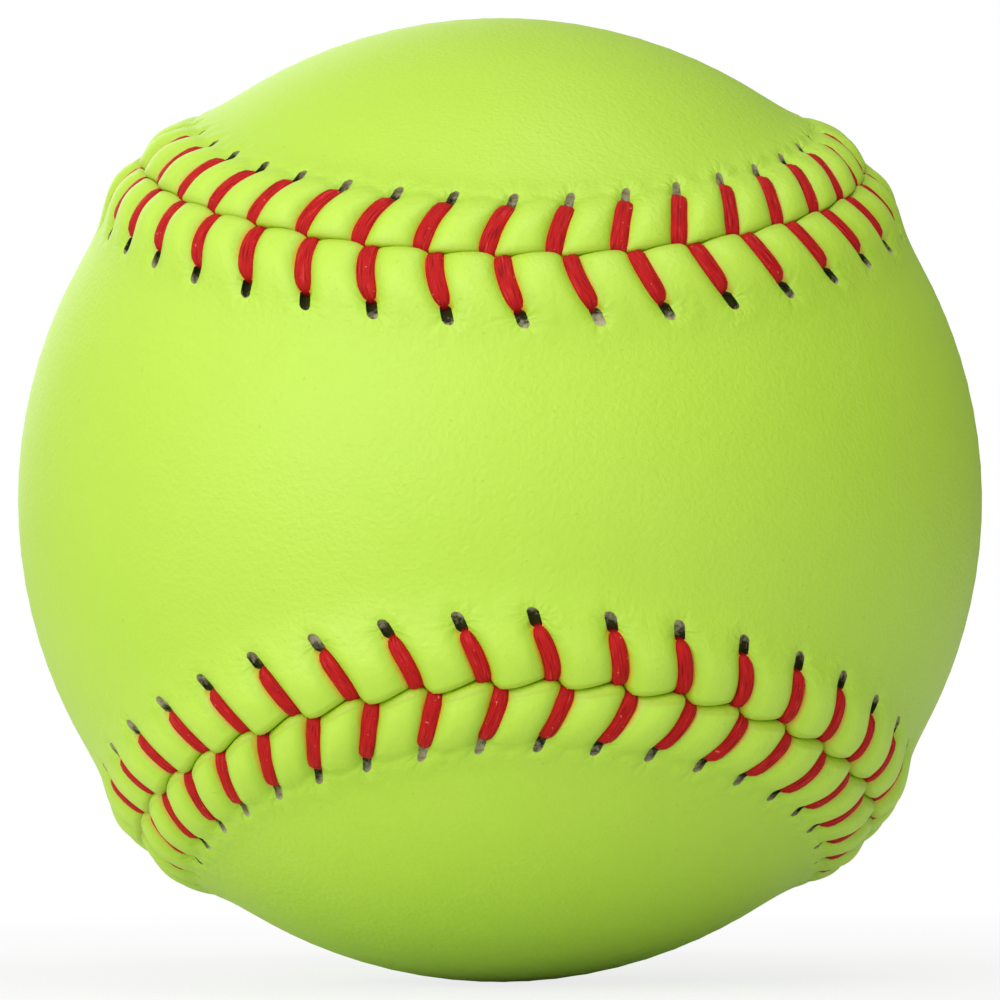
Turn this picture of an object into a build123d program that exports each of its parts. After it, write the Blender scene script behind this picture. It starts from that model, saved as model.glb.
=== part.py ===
from build123d import *
import math
import os

# A 12 inch softball: a moulded core, a film of cement, and two figure-eight cover panels, each a
# skin on a cloth backing, sewn together along one closed seam by two threads.
# Millimetres. The origin is the ball's centre, +Z is up, and the waist of the front panel faces -Y.

# The ball and its layers, from the outside in
ball_circumference = 304.8
skin_thickness = 0.9
cement_thickness = 0.15

# The seam
waist_width = 39.7  # across the narrow waist of a panel, along the surface
lobe_squareness = 0.026  # how far the round ends of a panel are squared off
seam_gap = 0.3

# The stitches
stitch_count = 88
first_stitch = -0.69  # along the seam, from the middle of the front panel's upper edge
hole_distance = 5.25  # from the seam to the thread that comes out of a hole
hole_stagger = 0.85  # the back panel's holes sit this far ahead of the front panel's
hole_fan = 0.75  # how far the holes spread along the round ends of a panel
hole_slack = 1.25  # open length of a hole beyond its thread
hole_clearance = 0.15  # beside the thread in a hole and where it dives into the seam
stitch_lean = 2.17  # a stitch meets the seam this far ahead of its hole

# The thread
thread_diameter = 1.2
thread_clearance = 0.06
leg_gap = 0.4  # between the two threads of a stitch where they dive
thread_bedding = 0.25  # depth that a stitch sinks into the skin
bed_allowance = 0.3  # what the backing is thicker than the thread that runs inside it

# The puffed lobes of skin between the stitches
lobe_height = 1.9
lobe_distance = 2.8  # from the seam to the top of a lobe
lobe_reach = 3.3  # radius of a lobe where it leaves the ball

front, back = -1, 1  # the two sides of the seam
full_turn = 2 * math.pi

ball_radius = ball_circumference / full_turn
backing_thickness = thread_diameter + bed_allowance
backing_radius = ball_radius - skin_thickness
cement_radius = backing_radius - backing_thickness
core_radius = cement_radius - cement_thickness
cover_depth = skin_thickness + backing_thickness

hole_width = thread_diameter + 2 * hole_clearance
bed_width = thread_diameter + 2 * thread_clearance
stitch_height = thread_diameter / 2 - thread_bedding
run_height = -skin_thickness - backing_thickness / 2 + thread_clearance
bend_share = 0.46  # of the thread's way down through the cover, for each of its two bends
thread_bend = bend_share * (stitch_height - run_height)
leg_offset = (thread_diameter + leg_gap) / 2
lobe_radius = (lobe_reach**2 + lobe_height**2) / (2 * lobe_height)
cut_reach = cover_depth + lobe_height


# The closed seam curve, as directions from the ball's centre
waist_slope = math.tan(waist_width / 2 / ball_radius)
waist_sine = math.sqrt(waist_slope**2 * (1 + waist_slope**2 - lobe_squareness**2))
waist_sine = (waist_sine - lobe_squareness) / (1 + waist_slope**2)
wide = (1 + waist_sine) / 2
narrow = (1 - waist_sine) / 2


def seam_direction(turn):
    x = wide * math.sin(turn) + narrow * math.sin(3 * turn) - lobe_squareness * math.sin(7 * turn)
    y = -2 * math.sqrt(wide * narrow) * math.cos(2 * turn)
    z = wide * math.cos(turn) - narrow * math.cos(3 * turn) + lobe_squareness * math.cos(7 * turn)
    return Vector(x, y, z).normalized()


seam_steps = 2400
seam_lengths = [0.0]
for step in range(seam_steps):
    here = seam_direction(full_turn * step / seam_steps)
    there = seam_direction(full_turn * (step + 1) / seam_steps)
    seam_lengths.append(seam_lengths[-1] + (there - here).length * ball_radius)
seam_length = seam_lengths[-1]
pitch = seam_length / stitch_count


def seam_turn(along):
    along = along % seam_length
    low, high = 0, seam_steps
    while high - low > 1:
        middle = (low + high) // 2
        if seam_lengths[middle] <= along:
            low = middle
        else:
            high = middle
    share = (along - seam_lengths[low]) / (seam_lengths[high] - seam_lengths[low])
    return full_turn * (low + share) / seam_steps


def on_ball(along, across, height):
    """A point beside the seam: across is positive on the back panel, height is above the ball."""
    turn = seam_turn(along)
    small = full_turn / seam_steps
    up = seam_direction(turn)
    ahead = (seam_direction(turn + small) - seam_direction(turn - small)).normalized()
    angle = across / ball_radius
    return (up * math.cos(angle) + up.cross(ahead) * math.sin(angle)) * (ball_radius + height)


# The stitches follow each other against the direction of the seam curve
def hole_along(stitch, side):
    along = first_stitch - stitch * pitch
    if side == back:
        along -= hole_stagger
    phase = full_turn * along / seam_length
    return along + hole_fan * (1 + side * math.cos(2 * phase)) / 2 * math.sin(4 * phase)


def tip_along(stitch):
    return first_stitch - stitch * pitch - stitch_lean


def foot_along(stitch, side):
    return tip_along(stitch) - side * leg_offset


def hole(stitch, side, height):
    return on_ball(hole_along(stitch, side), side * hole_distance, height)


def foot(stitch, side, height):
    return on_ball(foot_along(stitch, side), 0, height)


def lobe(stitch, side):
    """The ball-shaped puff of skin between one stitch and the next."""
    share = lobe_distance / hole_distance
    at_holes = (hole_along(stitch, side) + hole_along(stitch + 1, side)) / 2
    at_feet = (foot_along(stitch, side) + foot_along(stitch + 1, side)) / 2
    along = at_feet + (at_holes - at_feet) * share
    middle = on_ball(along, side * lobe_distance, lobe_height - lobe_radius)
    poles_buried = Plane(origin=middle, x_dir=-middle, z_dir=middle.cross(Vector(0, 0, 1)))
    return poles_buried * Sphere(lobe_radius)


# Cuts through the layers, square to the ball
def plane_on_ball(point, direction):
    return Plane(origin=point, x_dir=direction, z_dir=point.normalized())


def hole_cut(stitch, side):
    thread = hole(stitch, side, 0)
    outward = (thread - foot(stitch, side, 0)).normalized()
    inner_end = thread - outward * (thread_bend + thread_clearance)
    outer_end = thread + outward * (thread_diameter / 2 + hole_slack)
    plane = plane_on_ball((inner_end + outer_end) / 2, outward)
    slot = SlotOverall((outer_end - inner_end).length, hole_width)
    return extrude(plane * slot, amount=cut_reach, both=True)


def seam_nick(stitch):
    """The nick in both panel edges where the two threads of a stitch dive."""
    front_foot = foot(stitch, front, 0)
    back_foot = foot(stitch, back, 0)
    plane = plane_on_ball((front_foot + back_foot) / 2, back_foot - front_foot)
    length = 2 * leg_offset + hole_width
    return plane * Box(length, 2 * (thread_bend + thread_clearance), 2 * cut_reach)


def run_bed(stitch, side):
    """The bed in the backing for the thread on its way from the seam to the next hole."""
    start = foot(stitch, -side, 0)
    end = hole(stitch + 1, side, 0)
    plane = plane_on_ball((start + end) / 2, end - start)
    return plane * Box((end - start).length, bed_width, 2 * cut_reach)


def stitch_bed(stitch, side):
    """The dent that a stitch presses into the skin."""
    start = hole(stitch, side, stitch_height)
    end = foot(stitch, side, stitch_height)
    middle = (start + end) / 2
    floor = middle - middle.normalized() * (bed_width / 2)
    size = ((end - start).length, bed_width, cut_reach)
    return plane_on_ball(floor, end - start) * Box(*size, align=(Align.CENTER, Align.CENTER, Align.MIN))


def seam_wall(side):
    """A ribbon through the layers along one panel's edge, flat from each stitch to the next."""
    tips = [on_ball(tip_along(stitch), side * seam_gap / 2, 0) for stitch in range(stitch_count)]
    inner = (core_radius - cut_reach) / ball_radius
    outer = (ball_radius + cut_reach) / ball_radius
    strips = []
    for here, there in zip(tips, tips[1:] + tips[:1]):
        corners = [here * inner, there * inner, there * outer, here * outer]
        strips.append(Face(Wire.make_polygon(corners)))
    return Shell(strips)


def one_panel(layer, side):
    """The part of a full layer that lies on one side of the seam."""
    inside = Vector(0, side * ball_radius, 0)
    pieces = layer.split(seam_wall(side), keep=Keep.ALL)
    return min(pieces, key=lambda piece: piece.distance_to(inside))


def turned_ball(radius, side):
    """A ball whose poles lie clear of one panel."""
    return Rot(0, 90, 0) * Sphere(radius) if side == back else Sphere(radius)


def skin_panel(side):
    stitches = range(stitch_count)
    outside = turned_ball(ball_radius, side).fuse(*[lobe(stitch, side) for stitch in stitches])
    layer = outside.cut(turned_ball(backing_radius, side)).solid()
    cuts = [hole_cut(stitch, side) for stitch in stitches]
    cuts += [stitch_bed(stitch, side) for stitch in stitches]
    cuts += [seam_nick(stitch) for stitch in stitches]
    return one_panel(layer, side).cut(*cuts)


def backing_panel(side):
    stitches = range(stitch_count)
    layer = turned_ball(backing_radius, side).cut(turned_ball(cement_radius, side)).solid()
    cuts = [hole_cut(stitch, side) for stitch in stitches]
    cuts += [run_bed(stitch, side) for stitch in stitches]
    cuts += [seam_nick(stitch) for stitch in stitches]
    return one_panel(layer, side).cut(*cuts)


def rounded_path(points, radius):
    """Straight runs joined by tangent arcs."""
    edges = []
    start = points[0]
    for before, corner, after in zip(points, points[1:], points[2:]):
        back_along = (before - corner).normalized()
        on_along = (after - corner).normalized()
        half_angle = math.radians(back_along.get_angle(on_along)) / 2
        first = corner + back_along * (radius / math.tan(half_angle))
        last = corner + on_along * (radius / math.tan(half_angle))
        inward = (back_along + on_along).normalized()
        middle = corner + inward * (radius / math.sin(half_angle) - radius)
        edges.append(Edge.make_line(start, first))
        edges.append(Edge.make_three_point_arc(first, middle, last))
        start = last
    edges.append(Edge.make_line(start, points[-1]))
    return Wire(edges)


def thread(first_side):
    """One needle's thread: up a hole, over to the seam, down, and under the other panel to its hole."""
    side = first_side
    points = [(foot(-1, -side, run_height) + hole(0, side, run_height) * 2) / 3]
    for stitch in range(stitch_count):
        points.append(hole(stitch, side, run_height))
        points.append(hole(stitch, side, stitch_height))
        points.append(foot(stitch, side, stitch_height))
        points.append(foot(stitch, side, run_height))
        side = -side
    points.append((points[-1] * 2 + hole(stitch_count, side, run_height)) / 3)
    path = rounded_path(points, thread_bend)
    section = Plane(origin=points[0], z_dir=points[1] - points[0]) * Circle(thread_diameter / 2)
    return sweep(section, path)


nodes = {
    "core": Sphere(core_radius),
    "cement_film": Sphere(cement_radius) - Sphere(core_radius),
    "front_backing": backing_panel(front),
    "back_backing": backing_panel(back),
    "front_skin": skin_panel(front),
    "back_skin": skin_panel(back),
    "first_thread": thread(front),
    "second_thread": thread(back),
}

os.makedirs("parts", exist_ok=True)
for name, shape in nodes.items():
    export_step(shape, f"parts/{name}.step")
    print(name, len(shape.solids()), round(shape.volume, 1))
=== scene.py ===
import bisect
import math
import random

import bmesh
import bpy
from mathutils import Matrix, Vector


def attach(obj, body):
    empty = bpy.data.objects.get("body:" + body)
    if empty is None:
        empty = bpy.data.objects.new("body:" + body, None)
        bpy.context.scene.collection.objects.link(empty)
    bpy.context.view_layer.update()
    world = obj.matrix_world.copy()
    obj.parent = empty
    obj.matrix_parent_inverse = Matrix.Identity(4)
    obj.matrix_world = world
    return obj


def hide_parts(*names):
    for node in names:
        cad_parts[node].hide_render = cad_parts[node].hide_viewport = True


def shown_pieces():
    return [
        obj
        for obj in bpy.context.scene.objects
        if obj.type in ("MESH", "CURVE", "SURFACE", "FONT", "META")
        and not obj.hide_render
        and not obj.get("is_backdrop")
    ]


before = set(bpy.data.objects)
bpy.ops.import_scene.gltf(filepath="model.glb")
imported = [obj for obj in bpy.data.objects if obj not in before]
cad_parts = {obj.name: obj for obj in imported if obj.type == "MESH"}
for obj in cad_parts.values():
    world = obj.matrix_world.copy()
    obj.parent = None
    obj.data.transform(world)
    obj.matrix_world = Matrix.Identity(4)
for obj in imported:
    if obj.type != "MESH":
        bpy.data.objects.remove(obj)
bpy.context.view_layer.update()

# A sewn ball. The core, its cement and the cloth backings are the CAD nodes; the two puffed cover
# panels and the two threads are made here, around the same seam curve. Metres.
mm = 0.001
fullTurn = 2 * math.pi
front, back = -1, 1  # the two sides of the seam
edgeSlack = 1.001  # for rounding, where a vertex lies on a limit
weldDistance = 0.001 * mm
sharpAngle = math.radians(60)
random.seed(12)


def smoothStep(low, high, value):
    share = min(max((value - low) / (high - low), 0.0), 1.0)
    return share * share * (3 - 2 * share)


# The seam curve, the same as in the CAD
seam = {
    "ballRadius": 304.8 * mm / fullTurn,
    "waistWidth": 39.7 * mm,
    "squareness": 0.026,  # of the round ends of the panels
    "samples": 8800,
}
ballRadius = seam["ballRadius"]
squareness = seam["squareness"]
samples = seam["samples"]
waistSlope = math.tan(seam["waistWidth"] / 2 / ballRadius)
waistSine = math.sqrt(waistSlope**2 * (1 + waistSlope**2 - squareness**2)) - squareness
waistSine /= 1 + waistSlope**2
wide = (1 + waistSine) / 2
narrow = (1 - waistSine) / 2


def seamDirection(turn):
    x = wide * math.sin(turn) + narrow * math.sin(3 * turn) - squareness * math.sin(7 * turn)
    y = -2 * math.sqrt(wide * narrow) * math.cos(2 * turn)
    z = wide * math.cos(turn) - narrow * math.cos(3 * turn) + squareness * math.cos(7 * turn)
    return Vector((x, y, z)).normalized()


def evenSeam():
    points = [seamDirection(fullTurn * i / samples) for i in range(samples + 1)]
    lengths = [0.0]
    for here, there in zip(points, points[1:]):
        lengths.append(lengths[-1] + (there - here).length * ballRadius)
    even = []
    for i in range(samples):
        wanted = lengths[-1] * i / samples
        low = bisect.bisect_right(lengths, wanted) - 1
        share = (wanted - lengths[low]) / (lengths[low + 1] - lengths[low])
        even.append(points[low].lerp(points[low + 1], share).normalized())
    return even, lengths[-1]


seamPoints, seamLength = evenSeam()
seamAhead = [
    (seamPoints[(i + 1) % samples] - seamPoints[i - 1]).normalized()
    for i in range(samples)
]


def ballPoint(along, across, height):
    place = along / seamLength % 1 * samples
    low = int(place)
    here = low % samples
    there = (low + 1) % samples
    up = seamPoints[here].lerp(seamPoints[there], place - low)
    ahead = seamAhead[here].lerp(seamAhead[there], place - low)
    angle = across / ballRadius
    return (up * math.cos(angle) + up.cross(ahead) * math.sin(angle)) * (ballRadius + height)


# The stitches, and the way the cover is drawn in between them
stitch = {
    "count": 88,
    "first": -0.69 * mm,
    "holeDistance": 5.25 * mm,
    "holeStagger": 0.85 * mm,  # the back panel's holes sit this far ahead of the front panel's
    "holeFan": 0.75 * mm,  # how far the holes spread along the round ends
    "lean": 2.17 * mm,
    "leanReach": 1.5,  # the cover follows the lean this far, in hole distances
    "legOffset": 0.74 * mm,
    "bow": 0.3 * mm,  # of a stitch, on its way from the hole to the seam
    "sway": 0.12 * mm,  # how far the seam swings from side to side at the stitches
    "tautSway": 0.32 * mm,  # and how much more where the thread is taut
    "swayFade": (0.4 * mm, 3.0 * mm),  # away from the seam
    "drift": 0.16 * mm,  # how far a hole strays from its even place
}
pitch = seamLength / stitch["count"]
drifts = {
    side: [
        [stitch["drift"] * random.uniform(-1, 1) for axis in ("along", "away")]
        for number in range(stitch["count"])
    ]
    for side in (front, back)
}
print("seam", round(seamLength / mm, 1), "mm,", stitch["count"], "stitches")


def holeAlong(number, side):
    along = stitch["first"] - number * pitch
    if side == back:
        along -= stitch["holeStagger"]
    phase = fullTurn * along / seamLength
    return along + stitch["holeFan"] * (1 + side * math.cos(2 * phase)) / 2 * math.sin(4 * phase)


def footAlong(number, side):
    return stitch["first"] - number * pitch - stitch["lean"] - side * stitch["legOffset"]


def tautness(along):
    # 0 at the middle of the waist's upper edge, 1 at the middle of its lower edge
    return (1 - math.cos(fullTurn * along / seamLength)) / 2


def seamSway(along):
    turn = (stitch["first"] - stitch["lean"] - along) / pitch
    off = turn - round(turn)
    foot = stitch["legOffset"] / pitch
    if abs(off) < foot:
        share = off / foot
    else:
        share = math.copysign((0.5 - abs(off)) / (0.5 - foot), off)
    sway = stitch["sway"] + stitch["tautSway"] * tautness(along)
    return sway * math.sin(share * math.pi / 2)


# The cover panels: rings of vertices grown from the seam edge towards the middle of the panel
panel = {
    "lobeHeight": 1.95 * mm,
    "lobePeak": 2.6 * mm,  # from the seam to the top of a lobe
    "lobeSpread": 4.15 * mm,
    "lobeFullness": 2.3,
    "lobeVary": 0.12,
    "lobeFade": (5.6 * mm, 9.0 * mm),  # where the lobes run out into the panel
    "valleyHalf": 0.45 * mm,  # under a stitch, between two lobes
    "valleyFloor": 0.12 * mm,
    "valleyShare": 0.1,
    "creaseAt": 5.9 * mm,  # along the back panel, from hole to hole
    "creaseBow": 0.7 * mm,
    "creaseHalf": 0.55 * mm,
    "creaseDepth": 0.2 * mm,
    "roll": 0.48 * mm,  # radius of the tucked edge
    "tautRoll": 0.4 * mm,  # and how much more where the thread is taut
    "rollAngles": (90, 72, 54, 36, 18),
    "wallDepth": 1.6,  # of the tucked wall, in radii of the edge
    "halfGap": 0.03 * mm,
    "skin": 0.88 * mm,
    "holeCentre": 6.1 * mm,
    "holeHalfWidth": 0.5 * mm,
    "holeHalfLength": 1.0 * mm,
    "holeCorner": 0.7,  # where the corners of a hole's end lie, in radii of that end
    "holeDepth": 0.8 * mm,
    "holeWall": 0.1 * mm,
    "spineShare": 0.72,  # length of the line in the middle of a panel
    "middleRings": 9,
    "edgeMark": 0.3 * mm,  # the seam distance that the rolled edge gives to its material
    "middleMark": 20 * mm,  # and the middle of the panel
}
lobeSizes = {
    side: [1 + panel["lobeVary"] * random.uniform(-1, 1) for number in range(stitch["count"])]
    for side in (front, back)
}

# columns of vertices on both sides of each stitch, and one on the crest of the next lobe
columnOffsets = [x * mm for x in (-2.5, -1.95, -1.4, -0.9)]
columnOffsets += [-panel["holeHalfWidth"], -panel["holeHalfWidth"] / 2]
columnOffsets += [0] + [-x for x in reversed(columnOffsets)] + [pitch / 2]
columnsPerStitch = len(columnOffsets)
columnCount = columnsPerStitch * stitch["count"]
holeColumns = [
    column
    for column, offset in enumerate(columnOffsets)
    if abs(offset) < edgeSlack * panel["holeHalfWidth"]
]

# distances of the rings from the seam
lobeRings = [d * mm for d in (0.98, 1.3, 1.7, 2.1, 2.6, 3.1, 3.6, 4.1, 4.5, 4.85)]
holeRings = [
    panel["holeCentre"] + share * panel["holeHalfLength"]
    for share in (-1, -0.6, -0.2, 0.2, 0.6, 1)
]
outerRings = [d * mm for d in (7.4, 7.8, 8.3, 9.0, 9.8)]
farRings = [d * mm for d in (11.0, 14.0)]
innerRings = [d * mm for d in (1.0, 6.0, 14.0)]
halvings = (1, 2)  # column steps at which every other column ends


def coverPoint(side, number, distance, height):
    share = min(distance / stitch["holeDistance"], stitch["leanReach"])
    foot = footAlong(number, side)
    along = foot + (holeAlong(number, side) - foot) * share
    along -= stitch["bow"] * math.sin(math.pi * min(share, 1.0))
    sway = seamSway(along) * (1 - smoothStep(*stitch["swayFade"], distance))
    nearest = round(number)
    strayAlong, strayAway = drifts[side][nearest % stitch["count"]]
    stray = (1 - 2 * abs(number - nearest)) * min(share, 1.0)
    stray *= 1 - smoothStep(*panel["lobeFade"], distance)
    across = side * (distance + stray * strayAway) + sway
    return ballPoint(along + stray * strayAlong, across, height)


def lobeCrest(distance):
    past = (distance - panel["lobePeak"]) / panel["lobeSpread"]
    return panel["lobeHeight"] * math.exp(-(past**2))


def edgeRoll(number):
    return panel["roll"] + panel["tautRoll"] * tautness(footAlong(number, front))


def skinHeight(side, number, beside, distance):
    crest = lobeCrest(distance)
    lobe = number if beside >= 0 else number - 1
    full = crest * lobeSizes[side][lobe % stitch["count"]]
    floor = min(panel["valleyFloor"] + panel["valleyShare"] * crest, crest)
    share = (abs(beside) - panel["valleyHalf"]) / (pitch / 2 - panel["valleyHalf"])
    share = min(max(share, 0.0), 1.0)
    puffed = floor + (full - floor) * math.sqrt(1 - (1 - share) ** panel["lobeFullness"])
    height = puffed + (crest - puffed) * smoothStep(*panel["lobeFade"], distance)
    if side == back:
        creaseAt = panel["creaseAt"] + panel["creaseBow"] * share
        past = (distance - creaseAt) / panel["creaseHalf"]
        height -= panel["creaseDepth"] * math.exp(-(past**2))
    return height


def roundHole(beside, distance):
    # the square block of cells over a hole is drawn in to a slot with round ends
    half = panel["holeHalfWidth"]
    straight = panel["holeHalfLength"] - half
    away = distance - panel["holeCentre"]
    if abs(beside) > edgeSlack * half or abs(away) > edgeSlack * panel["holeHalfLength"]:
        return beside, distance
    past = max(abs(away) - straight, 0.0) / half
    beside *= math.sqrt(1 - min(past, panel["holeCorner"]) ** 2)
    if edgeSlack * past > 1:
        away = math.copysign(straight + math.sqrt(half**2 - beside**2), away)
    return beside, panel["holeCentre"] + away


# The shapes of the rings: how far beside the stitch, how far from the seam and how high a vertex lies
def wallShape(side, number, beside):
    roll = edgeRoll(number)
    height = skinHeight(side, number, beside, roll) - panel["wallDepth"] * roll
    return beside, panel["halfGap"], height


def rollShape(side, number, beside, angle):
    roll = edgeRoll(number)
    height = skinHeight(side, number, beside, roll) - roll * (1 - math.cos(angle))
    return beside, panel["halfGap"] + roll * (1 - math.sin(angle)), height


def lobeShape(side, number, beside, distance):
    return beside, distance, skinHeight(side, number, beside, distance)


def holeShape(side, number, beside, distance):
    beside, distance = roundHole(beside, distance)
    return beside, distance, skinHeight(side, number, beside, distance)


def farShape(side, number, beside, distance):
    return beside, distance, lobeCrest(distance)


def innerShape(side, number, beside, distance):
    return beside, distance, -panel["skin"]


def columnPlace(column):
    return column // columnsPerStitch, columnOffsets[column % columnsPerStitch]


def placer(side, shape, *settings):
    def place(column):
        number, beside = columnPlace(column)
        beside, distance, height = shape(side, number, beside, *settings)
        return coverPoint(side, number + beside / pitch, distance, height)
    return place


def growRing(bm, ring, layers, place, mark):
    grown = bmesh.ops.extrude_edge_only(bm, edges=ring)["geom"]
    verts = {item for item in grown if isinstance(item, bmesh.types.BMVert)}
    for vert in verts:
        vert.co = place(vert[layers["column"]])
        vert[layers["distance"]] = mark / mm
    edges = [item for item in grown if isinstance(item, bmesh.types.BMEdge)]
    return [edge for edge in edges if verts.issuperset(edge.verts)]


def halveRing(bm, ring, layers, step):
    byColumn = {vert[layers["column"]]: vert for edge in ring for vert in edge.verts}
    odd = {vert: byColumn[column - step] for column, vert in byColumn.items() if column // step % 2}
    kept = {vert for column, vert in byColumn.items() if column // step % 2 == 0}
    bmesh.ops.weld_verts(bm, targetmap=odd)
    return list({edge for vert in kept for edge in vert.link_edges if kept.issuperset(edge.verts)})


def overHole(edge, layers):
    return all(vert[layers["column"]] % columnsPerStitch in holeColumns for vert in edge.verts)


def spineAngle(side, point):
    return math.atan2(point.x, -point.y) if side == front else math.atan2(point.z, point.y)


def spinePoints(side, columns):
    # each column on one long edge of the panel shares a point of the spine with one on the other
    angles = []
    for column in columns:
        number, beside = columnPlace(column)
        angles.append(spineAngle(side, coverPoint(side, number + beside / pitch, farRings[-1], 0)))
    tip = angles.index(max(angles))
    spine = {}
    for step in range(len(columns) // 2 + 1):
        one = (tip + step) % len(columns)
        other = (tip - step) % len(columns)
        angle = panel["spineShare"] * (angles[one] + angles[other]) / 2
        if side == front:
            point = Vector((math.sin(angle), -math.cos(angle), 0))
        else:
            point = Vector((0, math.cos(angle), math.sin(angle)))
        spine[columns[one]] = point
        spine[columns[other]] = point
    return spine


def fillMiddle(bm, ring, layers, side, height):
    start = {vert[layers["column"]]: vert.co.normalized() for edge in ring for vert in edge.verts}
    spine = spinePoints(side, sorted(start))

    def middlePlacer(share):
        def place(column):
            return start[column].lerp(spine[column], share).normalized() * (ballRadius + height)
        return place

    for step in range(1, panel["middleRings"] + 1):
        place = middlePlacer(step / panel["middleRings"])
        ring = growRing(bm, ring, layers, place, panel["middleMark"])
    last = list({vert for edge in ring for vert in edge.verts})
    bmesh.ops.remove_doubles(bm, verts=last, dist=weldDistance)


def sinkHoles(bm, floors):
    walls = bmesh.ops.inset_region(
        bm,
        faces=floors,
        use_boundary=True,
        use_even_offset=True,
        thickness=panel["holeWall"],
        depth=-panel["holeDepth"],
    )["faces"]
    for face in walls + floors:
        face.material_index = 1


def makePiece(name, bm):
    mesh = bpy.data.meshes.new(name)
    bm.to_mesh(mesh)
    bm.free()
    mesh.shade_smooth()
    mesh.set_sharp_from_angle(angle=sharpAngle)
    piece = bpy.data.objects.new(name, mesh)
    bpy.context.scene.collection.objects.link(piece)
    return piece


def coverPanel(name, side):
    bm = bmesh.new()
    layers = {
        "column": bm.verts.layers.int.new("column"),
        "distance": bm.verts.layers.float.new("seamDistance"),
        "beside": bm.verts.layers.float.new("besideStitch"),
    }

    def grow(ring, mark, shape, *settings):
        return growRing(bm, ring, layers, placer(side, shape, *settings), mark)

    rim = bmesh.ops.create_circle(bm, segments=columnCount, radius=1)["verts"]
    wallFoot = placer(side, innerShape, 2 * panel["halfGap"])
    for column, vert in enumerate(rim):
        vert[layers["column"]] = column
        vert[layers["beside"]] = abs(columnPlace(column)[1]) / mm
        vert.co = wallFoot(column)
    rimEdges = bm.edges[:]

    # the tucked wall and the rolled edge, then the puffed lobes and the holes
    ring = grow(rimEdges, 0, wallShape)
    for degrees in panel["rollAngles"]:
        ring = grow(ring, panel["edgeMark"], rollShape, math.radians(degrees))
    for distance in lobeRings:
        ring = grow(ring, distance, lobeShape, distance)
    holeFaces = []
    for distance in holeRings:
        ring = grow(ring, distance, holeShape, distance)
        if distance > holeRings[0]:
            holeFaces += [face for edge in ring if overHole(edge, layers) for face in edge.link_faces]
    for distance in outerRings:
        ring = grow(ring, distance, lobeShape, distance)
    for step, distance in zip(halvings, farRings):
        ring = halveRing(bm, ring, layers, step)
        ring = grow(ring, distance, farShape, distance)
    fillMiddle(bm, ring, layers, side, 0)

    # the inner face, which lies on the cloth
    ring = grow(rimEdges, innerRings[0], innerShape, innerRings[0])
    for step, distance in zip(halvings, innerRings[1:]):
        ring = halveRing(bm, ring, layers, step)
        ring = grow(ring, distance, innerShape, distance)
    fillMiddle(bm, ring, layers, side, -panel["skin"])

    bmesh.ops.recalc_face_normals(bm, faces=bm.faces[:])
    sinkHoles(bm, holeFaces)
    return makePiece(name, bm)


# The threads: a flat bundle of filaments, up a hole, over to the seam, down, and under the other panel
thread = {
    "halfWidth": 0.92 * mm,
    "tautWidth": 0.14,  # share of the width that is lost where the thread is taut
    "halfThickness": 0.45 * mm,
    "groove": 0.07 * mm,  # along the middle, between the two plies
    "grooveHalf": 0.2,  # share of the bundle's half width
    "legLength": {front: 4.95 * mm, back: 5.25 * mm},
    "looseness": 0.12 * mm,
    "lift": 0.05 * mm,
    "runHeight": -1.5 * mm,
    "runSpread": 0.7,
    "runShares": (0.12, 0.5, 0.88),
    "sides": 20,
}
# share of the way from the seam, height above the ball in mm, and share of the full width
legSteps = (
    (1.0, -0.9, 0.7),
    (1.0, -0.2, 0.74),
    (0.985, 0.36, 0.81),
    (0.93, 0.7, 0.9),
    (0.83, 0.9, 0.97),
    (0.69, 1.0, 1.0),
    (0.54, 1.04, 1.0),
    (0.39, 1.02, 1.0),
    (0.25, 0.95, 1.0),
    (0.14, 0.84, 0.98),
    (0.06, 0.62, 0.96),
    (0.015, 0.25, 0.94),
    (0.0, -0.4, 0.9),
)


def threadPath(firstSide):
    # points of the thread's middle line, each with its sideways direction and its share of the width
    path = []
    side = firstSide
    sideways = Vector((0, 0, 1))
    for number in range(stitch["count"]):
        hole = coverPoint(side, number, stitch["holeDistance"], 0)
        foot = coverPoint(side, number, 0, 0)
        turned = (hole - foot).cross(hole).normalized()
        sideways = turned if turned.dot(sideways) >= 0 else -turned
        bow = thread["looseness"] * random.uniform(-1, 1)
        lift = thread["lift"] * random.uniform(-1, 1)
        width = 1 - thread["tautWidth"] * tautness(footAlong(number, side))
        for share, height, spread in legSteps:
            bend = bow * math.sin(math.pi * share) / pitch
            distance = share * thread["legLength"][side]
            point = coverPoint(side, number + bend, distance, height * mm + lift)
            path.append((point, sideways, spread * width))
        start = coverPoint(side, number, 0, thread["runHeight"])
        side = -side
        end = coverPoint(side, number + 1, thread["legLength"][side], thread["runHeight"])
        for share in thread["runShares"]:
            point = start.lerp(end, share).normalized() * (ballRadius + thread["runHeight"])
            path.append((point, sideways, thread["runSpread"]))
    return path


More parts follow.
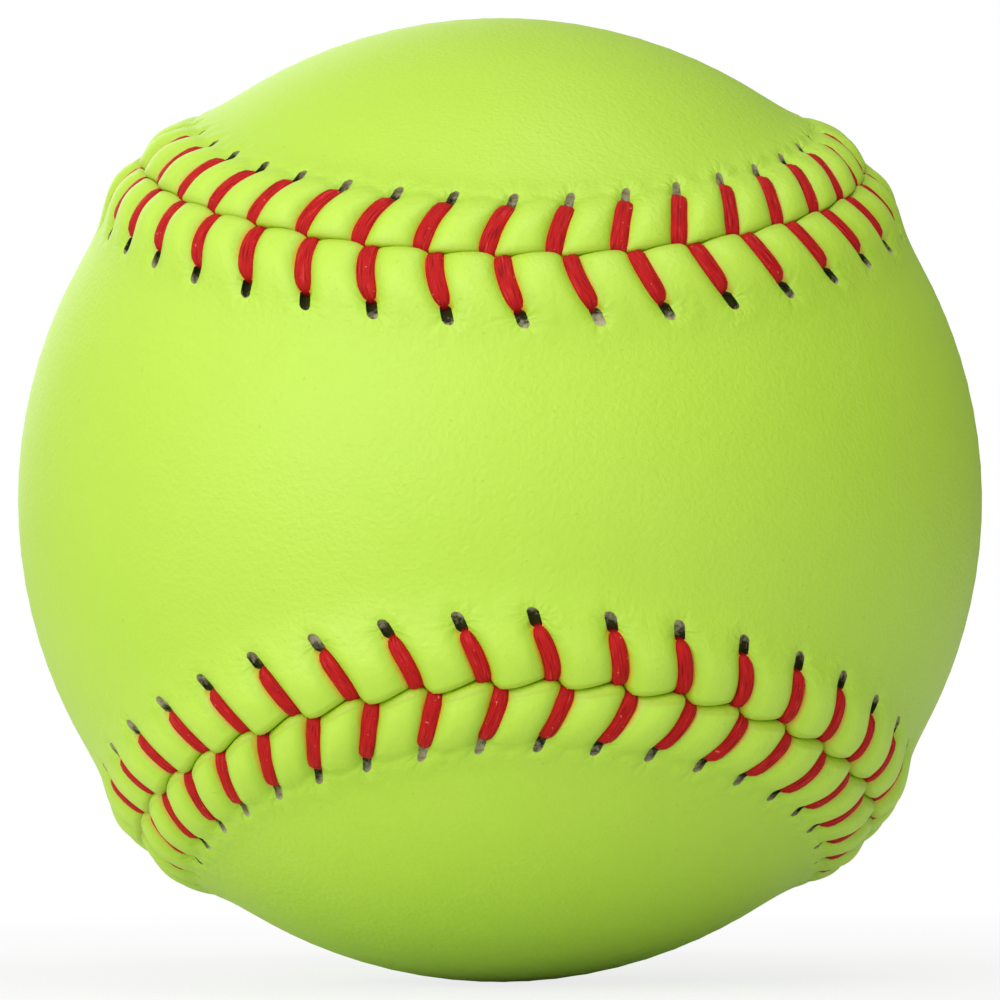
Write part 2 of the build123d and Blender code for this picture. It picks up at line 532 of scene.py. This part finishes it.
def sewnThread(name, firstSide):
    path = threadPath(firstSide)
    last = len(path) - 1
    bm = bmesh.new()
    bm.loops.layers.uv.new("filaments")
    # a flat sheet, one row for each point of the path, is rolled up into the bundle
    sheet = bmesh.ops.create_grid(
        bm, x_segments=thread["sides"], y_segments=last, size=0.5, calc_uvs=True
    )
    for vert in sheet["verts"]:
        angle = fullTurn * (vert.co.x + 0.5)
        step = round((vert.co.y + 0.5) * last)
        point, sideways, spread = path[step]
        ahead = path[min(step + 1, last)][0] - path[max(step - 1, 0)][0]
        upwards = sideways.cross(ahead).normalized()
        fromGroove = math.cos(angle) / thread["grooveHalf"]
        groove = thread["groove"] * math.exp(-(fromGroove**2)) * math.sin(angle)
        width = thread["halfWidth"] * spread * math.cos(angle)
        height = thread["halfThickness"] * math.sin(angle) - groove
        vert.co = point + sideways * width + upwards * height
    bmesh.ops.remove_doubles(bm, verts=bm.verts[:], dist=weldDistance)
    bmesh.ops.holes_fill(bm, edges=[edge for edge in bm.edges if edge.is_boundary])
    bmesh.ops.recalc_face_normals(bm, faces=bm.faces[:])
    return makePiece(name, bm)


# Materials
def newMaterial(name, colour, roughness, shine):
    material = bpy.data.materials.new(name)
    material.use_nodes = True
    shader = material.node_tree.nodes["Principled BSDF"]
    shader.inputs["Base Color"].default_value = (*colour, 1)
    shader.inputs["Roughness"].default_value = roughness
    shader.inputs["Specular IOR Level"].default_value = shine
    return material, material.node_tree, shader


def addNode(tree, kind, **values):
    node = tree.nodes.new(kind)
    for key, value in values.items():
        setattr(node, key, value)
    return node


def addPlace(tree):
    return addNode(tree, "ShaderNodeTexCoord").outputs["Object"]


def addAttribute(tree, name):
    return addNode(tree, "ShaderNodeAttribute", attribute_name=name).outputs["Fac"]


def addNoise(tree, vector, scale, detail):
    noise = addNode(tree, "ShaderNodeTexNoise")
    noise.inputs["Scale"].default_value = scale
    noise.inputs["Detail"].default_value = detail
    tree.links.new(vector, noise.inputs["Vector"])
    return noise.outputs["Fac"]


def addMath(tree, operation, *values):
    node = addNode(tree, "ShaderNodeMath", operation=operation)
    for socket, value in zip(node.inputs, values):
        if isinstance(value, (int, float)):
            socket.default_value = value
        else:
            tree.links.new(value, socket)
    return node.outputs[0]


def addFade(tree, value, low, high, first=0, last=1, kind="SMOOTHSTEP"):
    # first at low, last at high
    node = addNode(tree, "ShaderNodeMapRange", interpolation_type=kind)
    node.inputs["From Min"].default_value = low
    node.inputs["From Max"].default_value = high
    node.inputs["To Min"].default_value = first
    node.inputs["To Max"].default_value = last
    tree.links.new(value, node.inputs["Value"])
    return node.outputs["Result"]


def addMix(tree, share, first, second):
    node = addNode(tree, "ShaderNodeMix", data_type="RGBA")
    tree.links.new(share, node.inputs["Factor"])
    for socket, colour in ((node.inputs[6], first), (node.inputs[7], second)):
        if isinstance(colour, tuple):
            socket.default_value = (*colour, 1)
        else:
            tree.links.new(colour, socket)
    return node.outputs[2]


def addTint(tree, share, strength, colour, tint):
    return addMix(tree, addMath(tree, "MULTIPLY", share, strength), colour, tint)


def addBump(tree, height, depth, below=None):
    node = addNode(tree, "ShaderNodeBump")
    node.inputs["Strength"].default_value = 1
    node.inputs["Distance"].default_value = depth
    tree.links.new(height, node.inputs["Height"])
    if below:
        tree.links.new(below, node.inputs["Normal"])
    return node.outputs["Normal"]


skinLook = {
    "colour": (0.44, 0.73, 0.026),
    "paler": (0.48, 0.752, 0.05),
    "patches": 45,  # per metre
    "roughness": 0.52,
    "shine": 0.75,
    "grainSize": 0.5 * mm,
    "grainDepth": 0.07 * mm,
    "unevenSize": 5 * mm,
    "unevenDepth": 0.1 * mm,
    "puckerDepth": 0.22 * mm,
    "puckerFade": (3.6, 0.9),  # mm from the middle of a hole, from none to full
    "puckerScales": (2.0, 0.35, 14),  # around the hole, away from it, and from hole to hole
    "puckerChanges": 90,  # per metre
    "taperFrom": 3.4,  # mm from the seam, where the painted bounce light beside the thread gets narrower
    "taper": 0.16,
    "speck": (0.33, 0.46, 0.03),
    "specks": 2000,  # per metre
    "speckLevels": (0.84, 0.87),
    "speckStrength": 0.3,
}
# tints of the skin, all painted light and shade, each with the measures that limit it: mm from none to
# full
skinTints = {
    # painted highlight: the crest of each lobe is made paler
    "crest": {
        "colour": (0.515, 0.79, 0.056),
        "strength": 0.55,
        "limits": (("stitch", 1.0, 2.4), ("seam", 6.5, 3.5), ("seam", 0.2, 1.5)),
    },
    # painted shade: a deeper green in the valley on each side of a stitch
    "paintedValleyShade": {
        "colour": (0.35, 0.62, 0.008),
        "strength": 0.4,
        "limits": (("stitch", 2.1, 1.0), ("seam", 7.5, 5.5)),
    },
    # painted bounce light: a warm orange fringe on the skin along the red thread
    "paintedThreadBounce": {
        "colour": (0.66, 0.46, 0.006),
        "strength": 0.7,
        "limits": (("thread", 1.15, 0.85), ("seam", 6.0, 5.2)),
    },
    # painted shade: a deeper green in the crease along the seam
    "crease": {
        "colour": (0.40, 0.56, 0.015),
        "strength": 0.7,
        "limits": (("seam", 0.8, 0.1),),
    },
}


def skinRelief(tree, place, fromSeam, fromStitch):
    # puckers run out from each hole, over an uneven and grained skin
    away = addMath(tree, "SUBTRACT", fromSeam, panel["holeCentre"] / mm)
    angle = addMath(tree, "ARCTAN2", fromStitch, away)
    square = addMath(tree, "MULTIPLY", fromStitch, fromStitch)
    reach = addMath(tree, "SQRT", addMath(tree, "MULTIPLY_ADD", away, away, square))
    change = addNoise(tree, place, skinLook["puckerChanges"], 0)
    fan = addNode(tree, "ShaderNodeCombineXYZ")
    for socket, value, scale in zip(fan.inputs, (angle, reach, change), skinLook["puckerScales"]):
        tree.links.new(addMath(tree, "MULTIPLY", value, scale), socket)
    pucker = addNoise(tree, fan.outputs["Vector"], 1, 1)
    pucker = addMath(tree, "MULTIPLY", pucker, addFade(tree, reach, *skinLook["puckerFade"]))
    grain = addNoise(tree, place, 1 / skinLook["grainSize"], 2)
    uneven = addNoise(tree, place, 1 / skinLook["unevenSize"], 1)
    normal = addBump(tree, uneven, skinLook["unevenDepth"])
    normal = addBump(tree, pucker, skinLook["puckerDepth"], normal)
    return addBump(tree, grain, skinLook["grainDepth"], normal)


def skinColour(tree, place, fromSeam, fromStitch):
    past = addMath(tree, "MAXIMUM", addMath(tree, "SUBTRACT", fromSeam, skinLook["taperFrom"]), 0)
    fromThread = addMath(tree, "MULTIPLY_ADD", past, skinLook["taper"], fromStitch)
    measures = {"seam": fromSeam, "stitch": fromStitch, "thread": fromThread}
    patches = addNoise(tree, place, skinLook["patches"], 2)
    colour = addMix(tree, patches, skinLook["colour"], skinLook["paler"])
    # the painted highlight, shade and bounce light of skinTints, laid over the skin's colour
    for tint in skinTints.values():
        share = tint["strength"]
        for measure, none, full in tint["limits"]:
            share = addMath(tree, "MULTIPLY", addFade(tree, measures[measure], none, full), share)
        colour = addMix(tree, share, colour, tint["colour"])
    specks = addFade(tree, addNoise(tree, place, skinLook["specks"], 0), *skinLook["speckLevels"])
    return addTint(tree, specks, skinLook["speckStrength"], colour, skinLook["speck"])


def coverMaterial():
    finish = (skinLook["colour"], skinLook["roughness"], skinLook["shine"])
    material, tree, shader = newMaterial("coverSkin", *finish)
    measures = (addPlace(tree), addAttribute(tree, "seamDistance"), addAttribute(tree, "besideStitch"))
    tree.links.new(skinRelief(tree, *measures), shader.inputs["Normal"])
    tree.links.new(skinColour(tree, *measures), shader.inputs["Base Color"])
    return material


holeLook = {
    # painted shadow: the pit is shallow, so its floor and walls are dark for the shade deeper in the
    # hole, with an olive tint of painted bounce light from the green cover
    "dark": (0.045, 0.05, 0.012),
    # the cut cloth, its yellow tint partly painted bounce light from the cover
    "light": (0.66, 0.66, 0.42),
    "roughness": 0.8,
    "shine": 0.1,
    "outerEnd": (4.9, 7.4),  # mm from the seam, from none to full
    "outerShare": 0.55,
    "patchSize": 0.38 * mm,
    "patchShare": 0.8,
    "changeSize": 14 * mm,  # some holes show more of the cloth than others
    "changeShare": 0.9,
    "levels": (0.98, 1.46),
}


def holeMaterial():
    finish = (holeLook["dark"], holeLook["roughness"], holeLook["shine"])
    material, tree, shader = newMaterial("holeBottom", *finish)
    place = addPlace(tree)
    outwards = addFade(tree, addAttribute(tree, "seamDistance"), *holeLook["outerEnd"])
    patches = addNoise(tree, place, 1 / holeLook["patchSize"], 2)
    change = addNoise(tree, place, 1 / holeLook["changeSize"], 0)
    level = addMath(tree, "MULTIPLY", outwards, holeLook["outerShare"])
    level = addMath(tree, "MULTIPLY_ADD", change, holeLook["changeShare"], level)
    level = addMath(tree, "MULTIPLY_ADD", patches, holeLook["patchShare"], level)
    share = addFade(tree, level, *holeLook["levels"])
    # painted shadow, lighter towards the outer end and where the cloth shows
    colour = addMix(tree, share, holeLook["dark"], holeLook["light"])
    tree.links.new(colour, shader.inputs["Base Color"])
    return material


threadLook = {
    # painted shade: the dark streaks between the filaments
    "dark": (0.20, 0.004, 0.005),
    "darkLevels": (0.25, 0.5),
    "red": (0.48, 0.012, 0.012),
    # painted highlight: the light streaks along the filaments
    "light": (0.72, 0.07, 0.06),
    "lightLevels": (0.58, 0.8),
    "fluff": (0.85, 0.38, 0.26),
    "fluffSize": 0.4 * mm,
    "fluffLevels": (0.73, 0.8),
    "fluffStrength": 0.5,
    "roughness": 0.5,
    "shine": 0.08,
    "filaments": 34,
    "ripples": 500,
    "depth": 0.07 * mm,
}


def threadMaterial():
    finish = (threadLook["red"], threadLook["roughness"], threadLook["shine"])
    material, tree, shader = newMaterial("seamThread", *finish)
    sheet = addNode(tree, "ShaderNodeUVMap", uv_map="filaments")
    stretch = addNode(tree, "ShaderNodeMapping")
    stretch.inputs["Scale"].default_value = (threadLook["filaments"], threadLook["ripples"], 1)
    tree.links.new(sheet.outputs["UV"], stretch.inputs["Vector"])
    streak = addNoise(tree, stretch.outputs["Vector"], 1, 2)
    # the streaks are painted shade and highlight; the same noise raises the filaments in the bump
    lit = addFade(tree, streak, *threadLook["darkLevels"])
    colour = addMix(tree, lit, threadLook["dark"], threadLook["red"])
    bright = addFade(tree, streak, *threadLook["lightLevels"])
    colour = addMix(tree, bright, colour, threadLook["light"])
    fluff = addNoise(tree, addPlace(tree), 1 / threadLook["fluffSize"], 1)
    fluff = addFade(tree, fluff, *threadLook["fluffLevels"])
    colour = addTint(tree, fluff, threadLook["fluffStrength"], colour, threadLook["fluff"])
    tree.links.new(colour, shader.inputs["Base Color"])
    tree.links.new(addBump(tree, streak, threadLook["depth"]), shader.inputs["Normal"])
    return material


# the inner layers: two tones in patches
mottledLooks = {
    "backingCloth": {
        "dark": (0.16, 0.15, 0.12),
        "light": (0.72, 0.71, 0.66),
        "size": 0.67 * mm,
        "roughness": 0.9,
    },
    "coreFoam": {
        "dark": (0.53, 0.43, 0.27),
        "light": (0.68, 0.58, 0.40),
        "size": 1.2 * mm,
        "roughness": 0.85,
    },
    "cement": {
        "dark": (0.46, 0.34, 0.17),
        "light": (0.62, 0.49, 0.28),
        "size": 4 * mm,
        "roughness": 0.4,
    },
}
mottle = {"depth": 0.1 * mm, "levels": (0.35, 0.65), "shine": 0.2}


def mottledMaterial(name):
    look = mottledLooks[name]
    material, tree, shader = newMaterial(name, look["light"], look["roughness"], mottle["shine"])
    patches = addNoise(tree, addPlace(tree), 1 / look["size"], 2)
    colour = addMix(tree, addFade(tree, patches, *mottle["levels"]), look["dark"], look["light"])
    tree.links.new(colour, shader.inputs["Base Color"])
    tree.links.new(addBump(tree, patches, mottle["depth"]), shader.inputs["Normal"])
    return material


cover = coverMaterial()
holeBottom = holeMaterial()
yarn = threadMaterial()
cloth = mottledMaterial("backingCloth")
foam = mottledMaterial("coreFoam")
cement = mottledMaterial("cement")


def dress(piece, materials, node):
    for material in materials:
        piece.data.materials.append(material)
    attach(piece, "root")
    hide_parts(node)


for name, side in (("front_skin", front), ("back_skin", back)):
    piece = coverPanel("puffed_" + name, side)
    dress(piece, (cover, holeBottom), name)
    print("panel", piece.name, len(piece.data.polygons))
for name, side in (("first_thread", front), ("second_thread", back)):
    piece = sewnThread("sewn_" + name, side)
    dress(piece, (yarn,), name)
    print("thread", piece.name, len(piece.data.polygons))
inside = {"core": foam, "cement_film": cement, "front_backing": cloth, "back_backing": cloth}
for name, material in inside.items():
    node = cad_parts[name]
    node.data.materials.clear()
    node.data.materials.append(material)
    print("node", name, material.name)

# Floor, backdrop, light and camera
studio = {
    "floorHalf": 3.0,
    "floorColour": (0.84, 0.84, 0.84),
    "floorRoughness": 0.9,
    "floorGlow": 0.8,  # how far the floor near the ball is made white
    "shadowReach": 0.08,  # from the ball's centre; beyond it the floor goes over to white
    "whiteFrom": 0.24,
    "skyBright": 0.82,
    "skyDark": 0.05,
    "skyFrom": (-0.9, -0.35, 0.25),  # where the sky is brightest
}
# place, size, power and colour
lamps = {
    "keyLamp": ((-0.75, -0.95, 0.28), 1.1, 7.8, (1, 0.91, 0.95)),
    "frontLamp": ((0.3, -1.2, 0.0), 0.8, 1.5, (1, 1, 1)),
    "topLamp": ((0.15, -0.5, 1.0), 0.8, 3.6, (1, 0.97, 1)),
    "backLamp": ((-0.3, 1.0, 0.4), 0.8, 3, (1, 1, 1)),
}
lowest = min(vert.co.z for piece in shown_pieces() for vert in piece.data.vertices)


def layFloor():
    bm = bmesh.new()
    bmesh.ops.create_grid(bm, x_segments=1, y_segments=1, size=studio["floorHalf"])
    bmesh.ops.translate(bm, verts=bm.verts[:], vec=(0, 0, lowest))
    floor = makePiece("floor", bm)
    finish = (studio["floorColour"], studio["floorRoughness"], 0)
    material, tree, shader = newMaterial("floorPaint", *finish)
    away = addNode(tree, "ShaderNodeVectorMath", operation="LENGTH")
    tree.links.new(addPlace(tree), away.inputs[0])
    limits = (studio["shadowReach"], studio["whiteFrom"])
    glow = addFade(tree, away.outputs["Value"], *limits, studio["floorGlow"], 1, "LINEAR")
    path = addNode(tree, "ShaderNodeLightPath")
    share = addMath(tree, "MULTIPLY", path.outputs["Is Camera Ray"], glow)
    white = addNode(tree, "ShaderNodeEmission")
    mix = addNode(tree, "ShaderNodeMixShader")
    tree.links.new(share, mix.inputs["Fac"])
    tree.links.new(shader.outputs["BSDF"], mix.inputs[1])
    tree.links.new(white.outputs["Emission"], mix.inputs[2])
    tree.links.new(mix.outputs["Shader"], tree.nodes["Material Output"].inputs["Surface"])
    floor.data.materials.append(material)
    floor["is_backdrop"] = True


def paintSky():
    # white to the camera; for the light on the ball, brighter on one side
    world = bpy.data.worlds.new("sky")
    world.use_nodes = True
    tree = world.node_tree
    sky = tree.nodes["Background"]
    sky.inputs["Color"].default_value = (1, 1, 1, 1)
    facing = addNode(tree, "ShaderNodeVectorMath", operation="DOT_PRODUCT")
    facing.inputs[1].default_value = Vector(studio["skyFrom"]).normalized()
    direction = addNode(tree, "ShaderNodeTexCoord").outputs["Generated"]
    tree.links.new(direction, facing.inputs[0])
    strengths = (studio["skyDark"], studio["skyBright"])
    glow = addFade(tree, facing.outputs["Value"], -1, 1, *strengths, "LINEAR")
    path = addNode(tree, "ShaderNodeLightPath")
    level = addMath(tree, "MAXIMUM", path.outputs["Is Camera Ray"], glow)
    tree.links.new(level, sky.inputs["Strength"])
    bpy.context.scene.world = world


def hangLamp(name, position, size, power, colour):
    lamp = bpy.data.lights.new(name, "AREA")
    lamp.shape = "DISK"
    lamp.size = size
    lamp.energy = power
    lamp.color = colour
    holder = bpy.data.objects.new(name, lamp)
    holder.location = position
    holder.rotation_euler = (-Vector(position)).to_track_quat("-Z", "Y").to_euler()
    bpy.context.scene.collection.objects.link(holder)


view = {
    "distance": 448.4 * mm,
    "azimuth": math.radians(-3.17),
    "elevation": math.radians(-3.53),
    "roll": math.radians(-0.4),
    "lens": 159.5,
    "sensor": 36,
    "clipStart": 0.01,
}


def setCamera():
    flat = math.cos(view["elevation"])
    x = flat * math.sin(view["azimuth"])
    y = -flat * math.cos(view["azimuth"])
    away = Vector((x, y, math.sin(view["elevation"])))
    level = Vector((0, 0, 1)).cross(away).normalized()
    upright = away.cross(level)
    right = level * math.cos(view["roll"]) + upright * math.sin(view["roll"])
    up = away.cross(right)
    lens = bpy.data.cameras.new("camera")
    lens.lens = view["lens"]
    lens.sensor_width = view["sensor"]
    lens.clip_start = view["clipStart"]
    camera = bpy.data.objects.new("camera", lens)
    turned = Matrix((right, up, away)).transposed().to_4x4()
    camera.matrix_world = Matrix.Translation(away * view["distance"]) @ turned
    bpy.context.scene.collection.objects.link(camera)
    bpy.context.scene.camera = camera


layFloor()
paintSky()
for name, setting in lamps.items():
    hangLamp(name, *setting)
setCamera()
bpy.context.scene.view_settings.view_transform = "Standard"
print("studio", len(lamps), "lamps, floor at", round(lowest / mm, 2), "mm")
